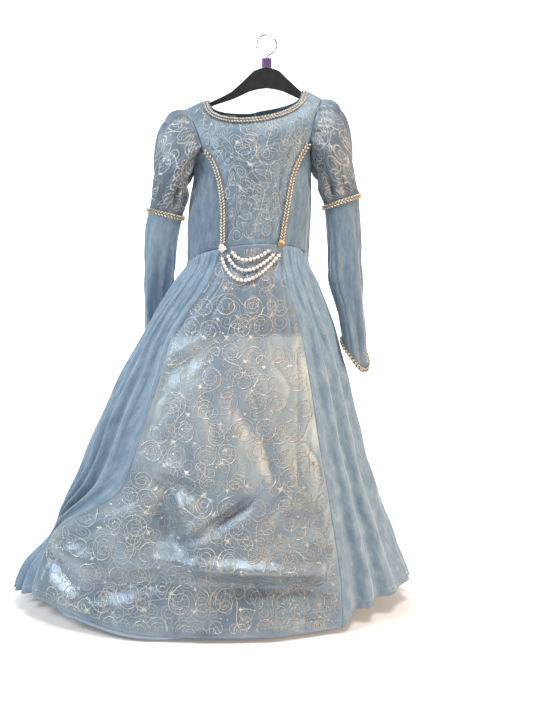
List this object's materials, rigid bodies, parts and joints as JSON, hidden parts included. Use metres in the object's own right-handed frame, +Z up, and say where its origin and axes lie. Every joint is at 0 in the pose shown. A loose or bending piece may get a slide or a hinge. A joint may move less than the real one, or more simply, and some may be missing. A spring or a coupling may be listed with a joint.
{
  "type": "child's princess costume dress on a clothes hanger",
  "caption": "Long velour and brocade costume dress with puff sleeves, pointed cuffs, braid trim, pearl swags and a full gathered skirt, hanging on a plastic clothes hanger.",
  "frame": {"origin": "where a rail touches the inside of the hook's crest", "axes": "+Z up, against gravity, with the dress hanging below; +X to the viewer's right across the shoulders; +Y away from a viewer who faces the front"},
  "size_m": [0.8474, 0.3779, 1.1311],
  "materials": {
    "velour": "short pile, light steel blue",
    "brocade": "satin under sheer glitter embroidery",
    "lining": "plain lining satin",
    "braid": "silver and gold metallic braid",
    "pearl": "pearlescent",
    "gold": "gold coloured",
    "label": "bare woven label",
    "tape": "hook tape",
    "plastic": "semi gloss black",
    "marker": "purple",
    "steel": "polished wire"
  },
  "bodies": {
    "root": {"skirt_front": "brocade", "bodice_front": "brocade", "skirt_lining": "lining", "neck_braid": "braid", "neck_label": "label", "back_tab": "tape", "hanger": "plastic", "size_marker": "marker", "hook": "steel", "brooch_left": "pearl", "brooch_right": "gold", "skirt_side_left": "velour", "skirt_back_left": "velour", "bodice_side_left": "velour", "bodice_back_left": "velour", "sleeve_left": "velour", "puff_left": "brocade", "princess_braid_left": "braid", "band_braid_left": "braid", "cuff_braid_left": "braid", "skirt_side_right": "velour", "skirt_back_right": "velour", "bodice_side_right": "velour", "bodice_back_right": "velour", "sleeve_right": "velour", "puff_right": "brocade", "princess_braid_right": "braid", "band_braid_right": "braid", "cuff_braid_right": "braid", "pearl_swag_upper": "pearl", "pearl_swag_middle": "pearl", "pearl_swag_lower": "pearl"}
  },
  "joints": []
}
